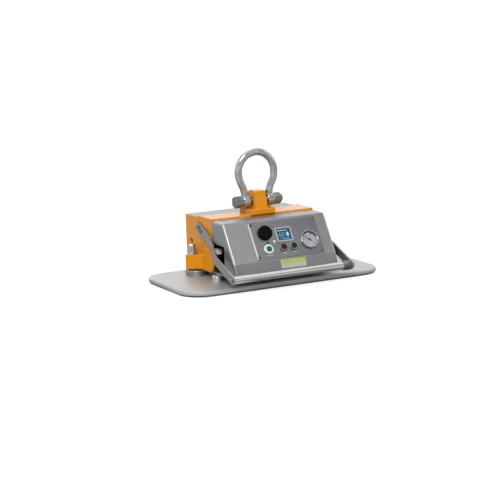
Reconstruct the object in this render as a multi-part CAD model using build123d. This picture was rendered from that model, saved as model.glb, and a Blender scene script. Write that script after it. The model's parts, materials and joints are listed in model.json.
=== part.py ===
"""Battery-powered vacuum lifter: suction plate, sheet-metal pump housing and crane shackle.

Millimetres, +Z up, front at -Y.  Heights are worked out from the sealing face and the finished
pieces are set down by the seal's drop, so the row's origin is the mouth of the suction port,
in the middle of the plate's underside.
"""
import os
from math import atan2, cos, degrees, hypot, radians, sin, tan

from build123d import *

os.makedirs("parts", exist_ok=True)

# ---- driving dimensions ------------------------------------------------------------------
RUN = 0.3                 # free gap between bodies that move on one another

# suction plate and its seal
PLATE_X, PLATE_Y, PLATE_R = 720.0, 384.0, 84.0
SEAL_DROP = 6.0           # seal standing proud of the plate
SEAL_SEAT = 3.0           # depth of the seal groove
SEAL_EDGE, SEAL_W = 5.0, 24.0
PLATE_T = 11.0
PLATE_TOP = SEAL_DROP + PLATE_T
PORT_R = 7.0              # suction bore

# housing
HALF = 189.0              # half width over the side plates
SIDE_T = 6.0              # side plate
INNER = HALF - SIDE_T
FLOOR = 36.0              # underside of the housing floor
FLOOR_T = 3.0
TOP = 210.0
SHEET = 2.0
BEAM_FRONT, BEAM_BACK = -14.0, 76.0
BEAM_TOP = TOP + 5.0      # crossbeam standing above the sheet metal
SHOULDER_Y = 90.0         # end of the side plates' raised part
BACK = 185.0
HOOD_FRONT = -91.0        # front edge of the top
BEND_Y, BEND_Z = -167.0, 86.5
LIP_Y, LIP_Z = -178.0, 54.0
HOOD_TOP = TOP - 0.6

# crane lug and shackle
PIN_Y, PIN_Z, PIN_R = 23.0, 255.0, 14.0
LUG_BASE, LUG_BASE_T = 90.0, 17.0
LUG_TOP_Z = 290.0
JAW = 32.0                # half gap between the shackle ears
EAR_T, EAR_R = 25.0, 22.4
NUT_AF = 36.0
WIRE_R = 12.5
BOW_R, BOW_Z = 66.0, 351.0

# folding handle
PIVOT_Y, PIVOT_Z = 70.0, 181.0
KNEES = [(-10.0, 133.5), (-92.0, 95.0)]
GRIP_Y, GRIP_Z = -212.0, 48.0
ARM_T, ARM_W = 6.0, 28.0
ARM_IN, ARM_OUT = HALF + 1.0, 214.0
GRIP_R = 13.0

# clamps that hold the suction plate
CLAMP_X, CLAMP_Y = HALF + 21.0, 97.0
PAD_X, PAD_Y = HALF + 8.0, 92.0
STUD_R = 8.0
SHELF_Z = 80.0
SHELF_T = 6.0
STUD_TOP = SHELF_Z + 31.0


# ---- small helpers -----------------------------------------------------------------------
def block(x0, x1, y0, y1, z0, z1):
    """Box given by its six faces."""
    return Pos((x0 + x1) / 2, (y0 + y1) / 2, (z0 + z1) / 2) * Box(x1 - x0, y1 - y0, z1 - z0)


def post(x, y, z0, z1, r):
    """Upright cylinder."""
    return Pos(x, y, (z0 + z1) / 2) * Cylinder(r, z1 - z0)


def bar_x(x0, x1, y, z, r):
    """Cylinder lying along X."""
    return Pos((x0 + x1) / 2, y, z) * Rot(0, 90, 0) * Cylinder(r, abs(x1 - x0))


def bar_y(y0, y1, x, z, r):
    """Cylinder lying along Y."""
    return Pos(x, (y0 + y1) / 2, z) * Rot(90, 0, 0) * Cylinder(r, abs(y1 - y0))


def hex_x(x0, x1, y, z, across):
    """Hexagonal prism lying along X."""
    prism = extrude(RegularPolygon(across / 2, 6, major_radius=False), amount=abs(x1 - x0))
    return Pos(min(x0, x1), y, z) * Rot(0, 90, 0) * prism


def hex_z(x, y, z0, z1, across):
    """Upright hexagonal prism."""
    return Pos(x, y, z0) * extrude(RegularPolygon(across / 2, 6, major_radius=False), amount=z1 - z0)


def outline(points, rounds=None):
    """Closed straight-sided face with chosen corners rounded."""
    face = make_face(Polyline(*points, close=True))
    for index, radius in (rounds or {}).items():
        near = Vector(*points[index])
        corner = min(face.vertices(), key=lambda v: (Vector(v.X, v.Y) - near).length)
        face = fillet(corner, radius)
    return face


def plate_yz(face, x0, x1):
    """Extrude a face drawn in (y, z) from x0 to x1."""
    return extrude(Plane.YZ.offset(x0) * face, amount=x1 - x0)


def mirror_x(shape):
    """The same piece on the other side."""
    return mirror(shape, about=Plane.YZ)


def rounded_slab(length, width, radius, z0, z1):
    """Flat slab with rounded corners about the middle of the plate."""
    return Pos(0, 0, z0) * extrude(RectangleRounded(length, width, radius), amount=z1 - z0)


def tube_along(points, start, end, radius):
    """Round hose along a smooth line with given end directions."""
    line = Spline(*points, tangents=[start, end])
    plane = Plane(origin=line @ 0, z_dir=line % 0)
    return sweep(plane * Circle(radius), path=line)


def save(name, shape):
    """Write one part, set down into the row frame."""
    solids = [Pos(0, 0, -SEAL_DROP) * solid for solid in shape.solids()]
    export_step(solids[0] if len(solids) == 1 else Compound(children=solids), f"parts/{name}.step")


# ---- suction plate -----------------------------------------------------------------------
plate = rounded_slab(PLATE_X, PLATE_Y, PLATE_R, SEAL_DROP, PLATE_TOP)
plate = chamfer(plate.edges().group_by(Axis.Z)[-1], 3.5)
ring_out = rounded_slab(PLATE_X - 2 * SEAL_EDGE, PLATE_Y - 2 * SEAL_EDGE, PLATE_R - SEAL_EDGE,
                        0, SEAL_DROP + SEAL_SEAT)
inset = SEAL_EDGE + SEAL_W
ring_in = rounded_slab(PLATE_X - 2 * inset, PLATE_Y - 2 * inset, PLATE_R - inset,
                       -1, SEAL_DROP + SEAL_SEAT + 1)
seal = ring_out - ring_in
plate = plate - seal - post(0, 0, 0, 30, PORT_R)
save("suction_plate", plate)
save("suction_seal", seal)

# port boss on the plate and the soft ring that seals it to the housing floor
save("port_boss", post(0, 0, PLATE_TOP, FLOOR - 3, 30) - post(0, 0, 0, 50, PORT_R))
save("port_seal", post(0, 0, FLOOR - 3, FLOOR, 26) - post(0, 0, 0, 50, PORT_R))

# round pads under the side plates, spacer columns and clamp studs
pad = post(-PAD_X, PAD_Y, PLATE_TOP, FLOOR, 40)
pad = fillet(pad.edges().group_by(Axis.Z)[-1], 2)
stud = post(-CLAMP_X, CLAMP_Y, FLOOR - 1, STUD_TOP, STUD_R)
rear_stud = pad + stud
save("rear_studs", Compound(children=[rear_stud, mirror_x(rear_stud)]))
foot = post(-HALF, -45, PLATE_TOP, FLOOR, 18)
foot = chamfer(foot.edges().group_by(Axis.Z)[-1], 1.5)
save("front_feet", Compound(children=[foot, mirror_x(foot)]))

# ---- orange frame ------------------------------------------------------------------------
side_face = outline(
    [(BEAM_FRONT, FLOOR), (BACK, FLOOR), (BACK, TOP - 1), (SHOULDER_Y + 6, TOP - 1),
     (SHOULDER_Y, BEAM_TOP), (BEAM_FRONT, BEAM_TOP)],
    {0: 26, 1: 8, 2: 3, 4: 2, 5: 3},
)
side = plate_yz(side_face, -HALF, -INNER)
side = side - bar_x(-HALF - 5, -INNER + 5, 145, 123, 9.5)          # safety-chain hole
side = side - bar_x(-HALF - 5, -INNER + 5, PIVOT_Y, PIVOT_Z, 6 + RUN)
# stop peg under the lowered handle arm
arm_y, arm_z = KNEES[0][0] - PIVOT_Y, KNEES[0][1] - PIVOT_Z
arm_len = hypot(arm_y, arm_z)
peg_gap = ARM_W / 2 + 5 + 0.4
peg_y = PIVOT_Y + 52 * arm_y / arm_len - peg_gap * arm_z / arm_len
peg_z = PIVOT_Z + 52 * arm_z / arm_len + peg_gap * arm_y / arm_len
peg = bar_x(-HALF - 10, -HALF, peg_y, peg_z, 5)
side = side + chamfer(peg.edges().group_by(Axis.X)[0], 1)
save("side_plate_left", side)
save("side_plate_right", mirror_x(side))

# clamp bracket: a bent wall around the stud under a top shelf, welded to the side plate
wall = [(-HALF, CLAMP_Y - 37), (-HALF - 44, CLAMP_Y - 1), (-HALF - 44, CLAMP_Y + 7),
        (-HALF - 36, CLAMP_Y + 17), (-HALF, CLAMP_Y + 17)]
bracket_face = outline(wall, {1: 4, 2: 4, 3: 5})
pocket = [(-HALF + 1, CLAMP_Y - 31.5), (-HALF - 39.5, CLAMP_Y + 1), (-HALF - 39.5, CLAMP_Y + 5),
          (-HALF - 34, CLAMP_Y + 12.5), (-HALF + 1, CLAMP_Y + 12.5)]
pocket_face = outline(pocket, {3: 2})
bracket_low = FLOOR + 3
bracket = Pos(0, 0, bracket_low) * extrude(bracket_face, amount=SHELF_Z + SHELF_T - bracket_low)
bracket = fillet(bracket.edges().group_by(Axis.Z)[-1].filter_by(lambda e: e.center().X < -HALF - 1), 2.5)
bracket = bracket - Pos(0, 0, bracket_low - 1) * extrude(pocket_face, amount=SHELF_Z - bracket_low + 1)
bracket = bracket - post(-CLAMP_X, CLAMP_Y, SHELF_Z - 5, SHELF_Z + 15, STUD_R)
save("clamp_bracket_left", bracket)
save("clamp_bracket_right", mirror_x(bracket))

# domed clamp nut with finger flutes, turning on the stud
nut_low, nut_high = SHELF_Z + SHELF_T + RUN, STUD_TOP + 11
nut = post(-CLAMP_X, CLAMP_Y, nut_low, nut_low + 4, 15.5)
nut_body = post(-CLAMP_X, CLAMP_Y, nut_low + 4, nut_high, 13)
nut_body = fillet(nut_body.edges().group_by(Axis.Z)[-1], 9)
for turn in range(6):
    angle = radians(60 * turn)
    nut_body = nut_body - post(-CLAMP_X + 15.5 * cos(angle), CLAMP_Y + 15.5 * sin(angle),
                               nut_low + 8, nut_high - 8, 4.5)
nut = nut + nut_body - post(-CLAMP_X, CLAMP_Y, SHELF_Z, STUD_TOP + RUN, STUD_R + RUN)
save("clamp_nut_left", nut)
save("clamp_nut_right", mirror_x(nut))

# crossbeam: a channel between the side plates
beam_low = TOP - 30
beam_outer = outline([(BEAM_FRONT, beam_low), (BEAM_FRONT, BEAM_TOP), (BEAM_BACK, BEAM_TOP),
                      (BEAM_BACK, beam_low)], {1: 4, 2: 4})
beam_inner = outline([(BEAM_FRONT + 5, beam_low - 1), (BEAM_FRONT + 5, BEAM_TOP - 8),
                      (BEAM_BACK - 5, BEAM_TOP - 8), (BEAM_BACK - 5, beam_low - 1)], {1: 3, 2: 3})
beam = plate_yz(beam_outer - beam_inner, -INNER, INNER)
for x in (-INNER, INNER):
    beam = beam - bar_x(x - 14, x + 14, PIVOT_Y, PIVOT_Z, 13)       # room for the pivot nut
bolt_spots = [(x, PIN_Y + y) for x in (-32, 32) for y in (-20, 20)]
for x, y in bolt_spots:
    beam = beam - post(x, y, BEAM_TOP - 20, BEAM_TOP + 1, 6)

# crane lug: square foot with a tapered neck
half_base = LUG_BASE / 2
foot_block = block(-half_base, half_base, PIN_Y - half_base, PIN_Y + half_base,
                   BEAM_TOP, BEAM_TOP + LUG_BASE_T)
foot_block = chamfer(foot_block.edges().group_by(Axis.Z)[-1], 2)
foot_block = fillet(foot_block.edges().filter_by(Axis.Z), 4)
neck = loft([
    Pos(0, PIN_Y, BEAM_TOP + LUG_BASE_T - 1) * Rectangle(48, 68),
    Pos(0, PIN_Y, LUG_TOP_Z) * Rectangle(39, 46),
])
neck = fillet(neck.edges().filter_by(lambda e: e.bounding_box().size.Z > 20), 3)
neck = chamfer(neck.edges().group_by(Axis.Z)[-1], 1.5)
lug = foot_block + neck - bar_x(-60, 60, PIN_Y, PIN_Z, PIN_R + RUN)
bolts = []
for x, y in bolt_spots:
    lug = lug - post(x, y, BEAM_TOP - 1, BEAM_TOP + 12, 6)
    bolt = hex_z(x, y, BEAM_TOP - 16, BEAM_TOP - 8, 18) + post(x, y, BEAM_TOP - 8, BEAM_TOP + 12, 6)
    bolts.append(bolt)
save("crossbeam", beam)
save("suspension_lug", lug)
save("lug_bolts", Compound(children=bolts))

# ---- sheet-metal housing -----------------------------------------------------------------
slope = hypot(BEND_Y - HOOD_FRONT, BEND_Z - HOOD_TOP)
down = Vector(0, (BEND_Y - HOOD_FRONT) / slope, (BEND_Z - HOOD_TOP) / slope)
out = Vector(0, down.Z, -down.Y)
panel = Plane(origin=(0, HOOD_FRONT, HOOD_TOP), x_dir=(1, 0, 0), z_dir=out)
lip_len = hypot(LIP_Y - BEND_Y, LIP_Z - BEND_Z)
lip_down = Vector(0, (LIP_Y - BEND_Y) / lip_len, (LIP_Z - BEND_Z) / lip_len)
lip = Plane(origin=(0, BEND_Y, BEND_Z), x_dir=(1, 0, 0), z_dir=Vector(0, lip_down.Z, -lip_down.Y))


def on_panel(shape, x, s, w=0.0):
    """Place a piece drawn with +Z outward at x across, s down the sloping panel, w off it."""
    return panel.location * Pos(x, -s, w) * shape


def disc(r, w0, w1):
    """Cylinder standing on the panel."""
    return Pos(0, 0, (w0 + w1) / 2) * Cylinder(r, w1 - w0)


def slab(a, b, w0, w1, r=0.0):
    """Rectangular piece standing on the panel."""
    face = RectangleRounded(a, b, r) if r else Rectangle(a, b)
    return Pos(0, 0, w0) * extrude(face, amount=w1 - w0)


SIREN = (-49.5, 49.5)
SIREN_R = 24.0
SCREEN = (17.0, 61.5)
LAMPS = [(-24.0, 81.5, 4.0), (-48.0, 84.0, 4.5)]
BUTTONS = {"power": (-52.2, 106.5), "release": (3.0, 104.5), "lift": (40.0, 104.5)}
GAUGE = (103.0, 90.0)
BARREL_R = 11.0

floor_low = LIP_Y + (LIP_Z - 10) * (BEND_Y - LIP_Y) / (LIP_Z - BEND_Z)
hood_points = [(60, HOOD_TOP), (HOOD_FRONT, HOOD_TOP), (BEND_Y, BEND_Z), (floor_low, 10), (60, 10)]


def hood_shape(inset, bend, edge):
    """Solid that fills the hood, set in by a wall thickness."""
    face = make_face(Polyline(*hood_points, close=True))
    if inset:
        face = offset(face, -inset, kind=Kind.INTERSECTION)
    body = plate_yz(face, -HALF + inset, HALF - inset)
    long_edges = body.edges().filter_by(Axis.X)
    body = fillet([e for e in long_edges if e.center().Z > 70 and e.center().Y < 0], bend)
    side_edges = [e for e in body.edges() if abs(e.center().X) > HALF - inset - 0.01
                  and e.center().Z > 12 and e.center().Y < 50 and e.bounding_box().size.X < 0.01]
    return fillet(side_edges, edge)


hood = hood_shape(0, 5, 8) - hood_shape(SHEET, 3, 6)
hood = hood & block(-HALF - 1, HALF + 1, LIP_Y - 40, BEAM_FRONT, FLOOR + FLOOR_T, TOP)
window_face = outline([(-101, 20), (-101, 136), (0, 136), (0, 20)], {1: 5})
window = plate_yz(window_face, -HALF - 1, HALF + 1) - plate_yz(window_face, -HALF + 39, HALF - 39)
hood = hood - window
shelf_y = LIP_Y + (LIP_Z - FLOOR - FLOOR_T) * (BEND_Y - LIP_Y) / (LIP_Z - BEND_Z)
hood = hood + block(-INNER + 13, INNER - 13, shelf_y + 1.5, shelf_y + 22, FLOOR + FLOOR_T, FLOOR + FLOOR_T + 2)
hood = hood - on_panel(disc(18 + RUN, -10, 10), *SIREN)
hood = hood - on_panel(slab(52, 44, -10, 10), *SCREEN)
for x, s, r in LAMPS:
    hood = hood - on_panel(disc(3, -10, 10), x, s)
for x, s in BUTTONS.values():
    hood = hood - on_panel(disc(BARREL_R, -10, 10), x, s)
hood = hood - on_panel(disc(27, -10, 10), *GAUGE)
screw_spots = [(-82, -41), (82, -41), (-INNER + 33, -32), (INNER - 33, -32)]
for x, y in screw_spots:
    hood = hood - post(x, y, TOP - 20, TOP + 10, 2.5)
save("front_hood", hood)
screws = [post(x, y, HOOD_TOP - 10, HOOD_TOP, 2.5) + post(x, y, HOOD_TOP, HOOD_TOP + 1.8, 5)
          for x, y in screw_spots]

# rear cover between the side plates, with louvre slots and the charging inlet
cover_face = outline([(BEAM_BACK, TOP - SHEET), (BEAM_BACK, TOP), (BACK, TOP), (BACK, FLOOR),
                      (BACK - SHEET, FLOOR), (BACK - SHEET, TOP - SHEET)], {2: 6, 5: 4})
cover = plate_yz(cover_face, -INNER, INNER)
for column_x in (-40, 40):
    for row in range(6):
        z = 96 + 13 * row
        slot = Pos(column_x, BACK - 1, z) * Rot(90, 0, 0) * extrude(SlotOverall(64, 5), 5, both=True)
        cover = cover - slot
SOCKET_X, SOCKET_Z = -125.0, 75.0
cover = cover - bar_y(BACK - 5, BACK + 5, SOCKET_X, SOCKET_Z, 11)
back_spots = [(x, z) for x in (-INNER + 13, INNER - 13) for z in (55, TOP - 20)]
for x, z in back_spots:
    cover = cover - bar_y(BACK - 5, BACK + 5, x, z, 2.5)
    screws.append(bar_y(BACK - 10, BACK, x, z, 2.5) + bar_y(BACK, BACK + 1.8, x, z, 5))
save("rear_cover", cover)
save("housing_screws", Compound(children=screws))
socket = bar_y(BACK - 13, BACK, SOCKET_X, SOCKET_Z, 11) + bar_y(BACK, BACK + 4, SOCKET_X, SOCKET_Z, 16)
socket = socket + bar_y(BACK + 4, BACK + 7, SOCKET_X, SOCKET_Z, 13)
save("charging_socket", socket)

# floor tray
tray = block(-INNER, INNER, -176, BACK - SHEET, FLOOR, FLOOR + FLOOR_T)
tray = tray - post(0, 0, 0, 60, PORT_R)
for x in (-INNER, INNER):
    inner_x = x + 3 if x < 0 else x - 3
    tray = tray + block(min(x, inner_x), max(x, inner_x), -6, 150, FLOOR + FLOOR_T, FLOOR + 20)
save("base_tray", tray)

# blank plate on the lip of the hood
label = Pos(0, 0, 0.4) * Box(92, 29, 0.8)
label = fillet(label.edges().filter_by(Axis.Z), 2)
save("label_plate", lip.location * Pos(25, -(lip_len / 2 - 0.5), 0) * label)

# ---- control panel -----------------------------------------------------------------------
CP_X0, CP_X1, CP_S0, CP_S1, CP_T = -101.0, 147.0, 9.0, 140.0, 2.0
cp_x, cp_s = (CP_X0 + CP_X1) / 2, (CP_S0 + CP_S1) / 2
control = on_panel(slab(CP_X1 - CP_X0, CP_S1 - CP_S0, 0, CP_T, 3), cp_x, cp_s)
control = control - on_panel(disc(18, -10, 10), *SIREN) - on_panel(slab(50, 42, -10, 10), *SCREEN)
for x, s, r in LAMPS:
    control = control - on_panel(disc(3, -10, 10), x, s)
for x, s in BUTTONS.values():
    control = control - on_panel(disc(BARREL_R, -10, 10), x, s)
control = control - on_panel(disc(26, -10, 10), *GAUGE)
cp_screws = [(CP_X0 + 9, CP_S0 + 9), (CP_X0 + 9, CP_S1 - 9), (CP_X1 - 9, CP_S0 + 9), (CP_X1 - 9, CP_S1 - 9)]
heads = []
for x, s in cp_screws:
    control = control - on_panel(disc(2, -10, 10), x, s)
    head = disc(4.2, CP_T, CP_T + 2.2)
    head = fillet(head.edges().group_by(Axis.Z)[-1], 1.2)
    head = head - Pos(0, 0, CP_T + 2.2) * extrude(RegularPolygon(1.5, 6), 1.4, both=True)
    heads.append(on_panel(head + disc(2, 0, CP_T), x, s))
save("control_plate", control)
save("control_screws", Compound(children=heads))

# siren: round housing with a slotted grille
siren = disc(SIREN_R, CP_T, 11) + disc(18, -28, CP_T)
siren = siren - disc(SIREN_R - 3, 8, 13)
save("siren_housing", on_panel(siren, *SIREN))
grille = disc(SIREN_R - 3, 8, 13)
grille = fillet(grille.edges().group_by(Axis.Z)[-1], 2)
for turn in range(8):
    grille = grille - Rot(0, 0, 45 * turn) * Pos(12, 0, 13) * Box(9, 2.6, 5)
save("siren_grille", on_panel(grille, *SIREN))

# display
frame_ring = slab(58, 50, CP_T, CP_T + 3, 3)
frame_ring = frame_ring - slab(49, 41, 0, 10, 1)
save("display_bezel", on_panel(frame_ring, *SCREEN))
screen = slab(50, 42, -12, CP_T) + slab(49, 41, CP_T, CP_T + 1.6, 1)
save("display_screen", on_panel(screen, *SCREEN))

# lamps
lamps = []
for x, s, r in LAMPS:
    lamp = disc(r, CP_T, CP_T + 2)
    lamp = fillet(lamp.edges().group_by(Axis.Z)[-1], 1.4)
    lamps.append(on_panel(lamp + disc(3, -12, CP_T), x, s))
save("status_lamps", Compound(children=lamps))

# push buttons: collar with barrel and contact block, and a cap that slides in it
CAP_R, CAP_OUT, BUTTON_TRAVEL = 9.4, 10.0, 3.5
for name, (x, s) in BUTTONS.items():
    ring_r = 16.5 if name == "power" else 14.8
    collar = disc(ring_r, CP_T, CP_T + 5)
    collar = fillet(collar.edges().group_by(Axis.Z)[-1], 2.2)
    collar = collar + disc(BARREL_R, -22, CP_T) - disc(CAP_R + RUN, -8, 20)
    collar = collar + slab(24, 26, -46, -22, 2)
    save(f"{name}_collar", on_panel(collar, x, s))
    cap = disc(CAP_R, -3.5, CAP_OUT)
    cap = fillet(cap.edges().group_by(Axis.Z)[-1], 2)
    save(f"{name}_cap", on_panel(cap, x, s))

# vacuum gauge
case = disc(31, CP_T, CP_T + 4) + disc(26, -26, CP_T) - disc(28, 3.2, 10)
stem = disc(7, -34, -26) + disc(4.5, -46, -34)
save("gauge_case", on_panel(case + stem, *GAUGE))
save("gauge_dial", on_panel(disc(28, 3.2, 3.8), *GAUGE))
rim = disc(31, CP_T + 4, CP_T + 8) - disc(28, 0, 20)
rim = fillet(rim.edges().group_by(Axis.Z)[-1], 1.2)
save("gauge_rim", on_panel(rim, *GAUGE))
save("gauge_glass", on_panel(disc(28, 7.4, 8.8), *GAUGE))
pointer = make_face(Polyline((-1.8, -8), (1.8, -8), (0.6, 21), (-0.6, 21), close=True))
needle = Pos(0, 0, 4.8) * extrude(pointer, amount=0.8) + disc(3.2, 4.2, 6.6)
save("gauge_needle", on_panel(Rot(0, 0, 52) * needle, *GAUGE))

# ---- folding handle ----------------------------------------------------------------------
reach = hypot(GRIP_Y - PIVOT_Y, GRIP_Z - PIVOT_Z)
dy, dz = (GRIP_Y - PIVOT_Y) / reach, (GRIP_Z - PIVOT_Z) / reach


def strap(y0, z0, y1, z1):
    """Round-ended bar outline between two points of the side view."""
    length = hypot(y1 - y0, z1 - z0)
    face = SlotCenterToCenter(length, ARM_W)
    return Pos((y0 + y1) / 2, (z0 + z1) / 2) * Rot(0, 0, degrees(atan2(z1 - z0, y1 - y0))) * face


stations = [(PIVOT_Y, PIVOT_Z), *KNEES, (GRIP_Y, GRIP_Z)]
side_view = strap(*stations[0], *stations[1])
for start, end in zip(stations[1:], stations[2:]):
    side_view = side_view + strap(*start, *end)
side_view = plate_yz(side_view, -ARM_OUT - 2 * ARM_T, -ARM_IN + 2 * ARM_T)
JOG_0, JOG_1 = 92.0, 182.0
band_end = reach + ARM_W
shift = ARM_T * tan(atan2(ARM_OUT - ARM_IN, JOG_1 - JOG_0) / 2)
band_points = [(-ARM_W, -ARM_IN), (JOG_0, -ARM_IN), (JOG_1, -ARM_OUT), (band_end, -ARM_OUT),
               (band_end, -ARM_OUT - ARM_T), (JOG_1 - shift, -ARM_OUT - ARM_T),
               (JOG_0 - shift, -ARM_IN - ARM_T), (-ARM_W, -ARM_IN - ARM_T)]
band = outline(band_points, {1: 36, 2: 30, 5: 36, 6: 30})
band_plane = Plane(origin=(0, PIVOT_Y, PIVOT_Z), x_dir=(0, dy, dz), z_dir=(0, dz, -dy))
arm = extrude(band_plane * band, amount=70, both=True) & side_view
INDEX_Y, INDEX_Z = 54.0, 167.5
for y, z, hole in ((PIVOT_Y, PIVOT_Z, 6), (INDEX_Y, INDEX_Z, 4), (GRIP_Y, GRIP_Z, 5)):
    arm = arm - bar_x(-ARM_OUT - 2 * ARM_T, -ARM_IN + ARM_T, y, z, hole)
save("handle_arm_left", arm)
save("handle_arm_right", mirror_x(arm))

grip = bar_x(-ARM_OUT, ARM_OUT, GRIP_Y, GRIP_Z, GRIP_R)
grip = grip - bar_x(-ARM_OUT + 14, ARM_OUT - 14, GRIP_Y, GRIP_Z, GRIP_R - 2.5)
for x in (-ARM_OUT, ARM_OUT):
    grip = grip - bar_x(x - 14.5, x + 14.5, GRIP_Y, GRIP_Z, 5)
save("handle_grip", grip)
ring = bar_x(ARM_OUT - 30, ARM_OUT, GRIP_Y, GRIP_Z, GRIP_R + 2) - bar_x(0, 300, GRIP_Y, GRIP_Z, GRIP_R)
for rib in range(5):
    x = ARM_OUT - 6 * rib
    ring = ring + bar_x(x - 4.5, x, GRIP_Y, GRIP_Z, GRIP_R + 3) - bar_x(x - 5, x + 1, GRIP_Y, GRIP_Z, GRIP_R)
save("handle_collar", ring)

bolt = hex_x(-ARM_IN - ARM_T - 7, -ARM_IN - ARM_T, PIVOT_Y, PIVOT_Z, 18)
bolt = bolt + bar_x(-ARM_IN - ARM_T, -INNER + 12, PIVOT_Y, PIVOT_Z, 6)
bolt = bolt + hex_x(-INNER + RUN, -INNER + RUN + 9, PIVOT_Y, PIVOT_Z, 18)
bolt = bolt + bar_x(-ARM_IN, -HALF - RUN, PIVOT_Y, PIVOT_Z, 11)
index = hex_x(-ARM_IN - ARM_T - 5, -ARM_IN - ARM_T, INDEX_Y, INDEX_Z, 13)
index = index + bar_x(-ARM_IN - ARM_T, -ARM_IN, INDEX_Y, INDEX_Z, 4)
save("handle_bolts", Compound(children=[bolt, index, mirror_x(bolt), mirror_x(index)]))
tip = bar_x(-ARM_OUT - ARM_T, -ARM_OUT + 14, GRIP_Y, GRIP_Z, 5)
tip = tip + hex_x(-ARM_OUT - ARM_T - 6, -ARM_OUT - ARM_T, GRIP_Y, GRIP_Z, 16)
save("grip_bolts", Compound(children=[tip, mirror_x(tip)]))

# ---- bow shackle -------------------------------------------------------------------------
ear_x = JAW + EAR_T / 2
leg_up = Spline((ear_x, PIN_Y, PIN_Z), (44.4, PIN_Y, 275), (51.5, PIN_Y, 303), (BOW_R, PIN_Y, BOW_Z),
                tangents=[(0, 0, 1), (0, 0, 1)])
over = ThreePointArc((BOW_R, PIN_Y, BOW_Z), (0, PIN_Y, BOW_Z + BOW_R), (-BOW_R, PIN_Y, BOW_Z))
leg_down = Spline((-BOW_R, PIN_Y, BOW_Z), (-51.5, PIN_Y, 303), (-44.4, PIN_Y, 275), (-ear_x, PIN_Y, PIN_Z),
                  tangents=[(0, 0, -1), (0, 0, -1)])
wire = Wire([leg_up.edge(), over.edge(), leg_down.edge()])
bow = sweep(Plane(origin=(ear_x, PIN_Y, PIN_Z), z_dir=(0, 0, 1)) * Circle(WIRE_R), path=wire)
ears = []
for side_sign in (-1, 1):
    x0, x1 = sorted((side_sign * JAW, side_sign * (JAW + EAR_T)))
    ear = bar_x(x0, x1, PIN_Y, PIN_Z, EAR_R)
    ear = fillet(ear.edges().filter_by(GeomType.CIRCLE), 4)
    ears.append(ear)
bow = bow + ears[0] + ears[1]
bow = bow - bar_x(-80, 80, PIN_Y, PIN_Z, PIN_R)
save("shackle_bow", bow)

ear_end = JAW + EAR_T
pin = bar_x(-ear_end, ear_end, PIN_Y, PIN_Z, PIN_R) + bar_x(ear_end, ear_end + 34, PIN_Y, PIN_Z, PIN_R - 1)
pin_head = hex_x(-ear_end - 27, -ear_end - 5, PIN_Y, PIN_Z, NUT_AF)
pin_head = pin_head & bar_x(-ear_end - 27, -ear_end - 5, PIN_Y, PIN_Z, NUT_AF * 0.55)
pin = pin + pin_head + bar_x(-ear_end - 5, -ear_end, PIN_Y, PIN_Z, 17.5)
pin = chamfer(pin.edges().group_by(Axis.X)[-1], 1.5)
cotter_x = ear_end + 29.5
pin = pin - bar_y(PIN_Y - 20, PIN_Y + 20, cotter_x, PIN_Z, 2.2)
save("shackle_pin", pin)
pin_nut = hex_x(ear_end + 5, ear_end + 26, PIN_Y, PIN_Z, NUT_AF)
pin_nut = pin_nut & bar_x(ear_end, ear_end + 26, PIN_Y, PIN_Z, NUT_AF * 0.55)
pin_nut = pin_nut + bar_x(ear_end, ear_end + 5, PIN_Y, PIN_Z, 18.5)
save("shackle_nut", pin_nut - bar_x(0, 200, PIN_Y, PIN_Z, PIN_R - 1))
cotter = bar_y(PIN_Y - 17, PIN_Y + 17, cotter_x, PIN_Z, 2.2)
eye = Pos(cotter_x, PIN_Y + 21.5, PIN_Z) * Rot(0, 90, 0) * Torus(4.5, 1.8)
save("cotter_pin", cotter + eye)

# ---- inside the housing ------------------------------------------------------------------
deck = FLOOR + FLOOR_T
TANK_Y, TANK_Z, TANK_R = -52.0, deck + 37, 28.0
valve = block(-30, 30, -18, 42, deck, deck + 35) - post(0, 0, 0, deck + 25, PORT_R)
valve = chamfer(valve.edges().group_by(Axis.Z)[-1], 1.5)
coil = fillet(Box(24, 26, 30).edges().filter_by(Axis.Z), 4)
valve = valve + Pos(12, 26, deck + 50) * coil + post(-15, 5, deck + 35, deck + 41, 8)
save("valve_block", valve)

cell_x, cell_y = -INNER + 18, 60
battery = block(cell_x, cell_x + 151, cell_y, cell_y + 98, deck, deck + 94)
battery = fillet(battery.edges().filter_by(Axis.Z), 4)
battery = battery - block(cell_x - 1, cell_x + 152, cell_y - 1, cell_y + 99, deck + 82, deck + 83.5)
battery = battery + block(cell_x + 1.5, cell_x + 149.5, cell_y + 1.5, cell_y + 96.5, deck + 80, deck + 90)
for x in (cell_x + 15, cell_x + 135):
    battery = battery + block(x - 6, x + 6, cell_y + 6, cell_y + 18, deck + 94, deck + 100)
save("battery", battery)
band_x0, band_x1 = cell_x + 65, cell_x + 87
band_up = block(band_x0, band_x1, cell_y - 2, cell_y + 100, deck, deck + 96)
band_up = band_up - block(band_x0, band_x1, cell_y, cell_y + 98, deck, deck + 94)
band_up = band_up + block(band_x0, band_x1, cell_y - 14, cell_y - 2, deck, deck + 2)
save("battery_strap", band_up)

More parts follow.
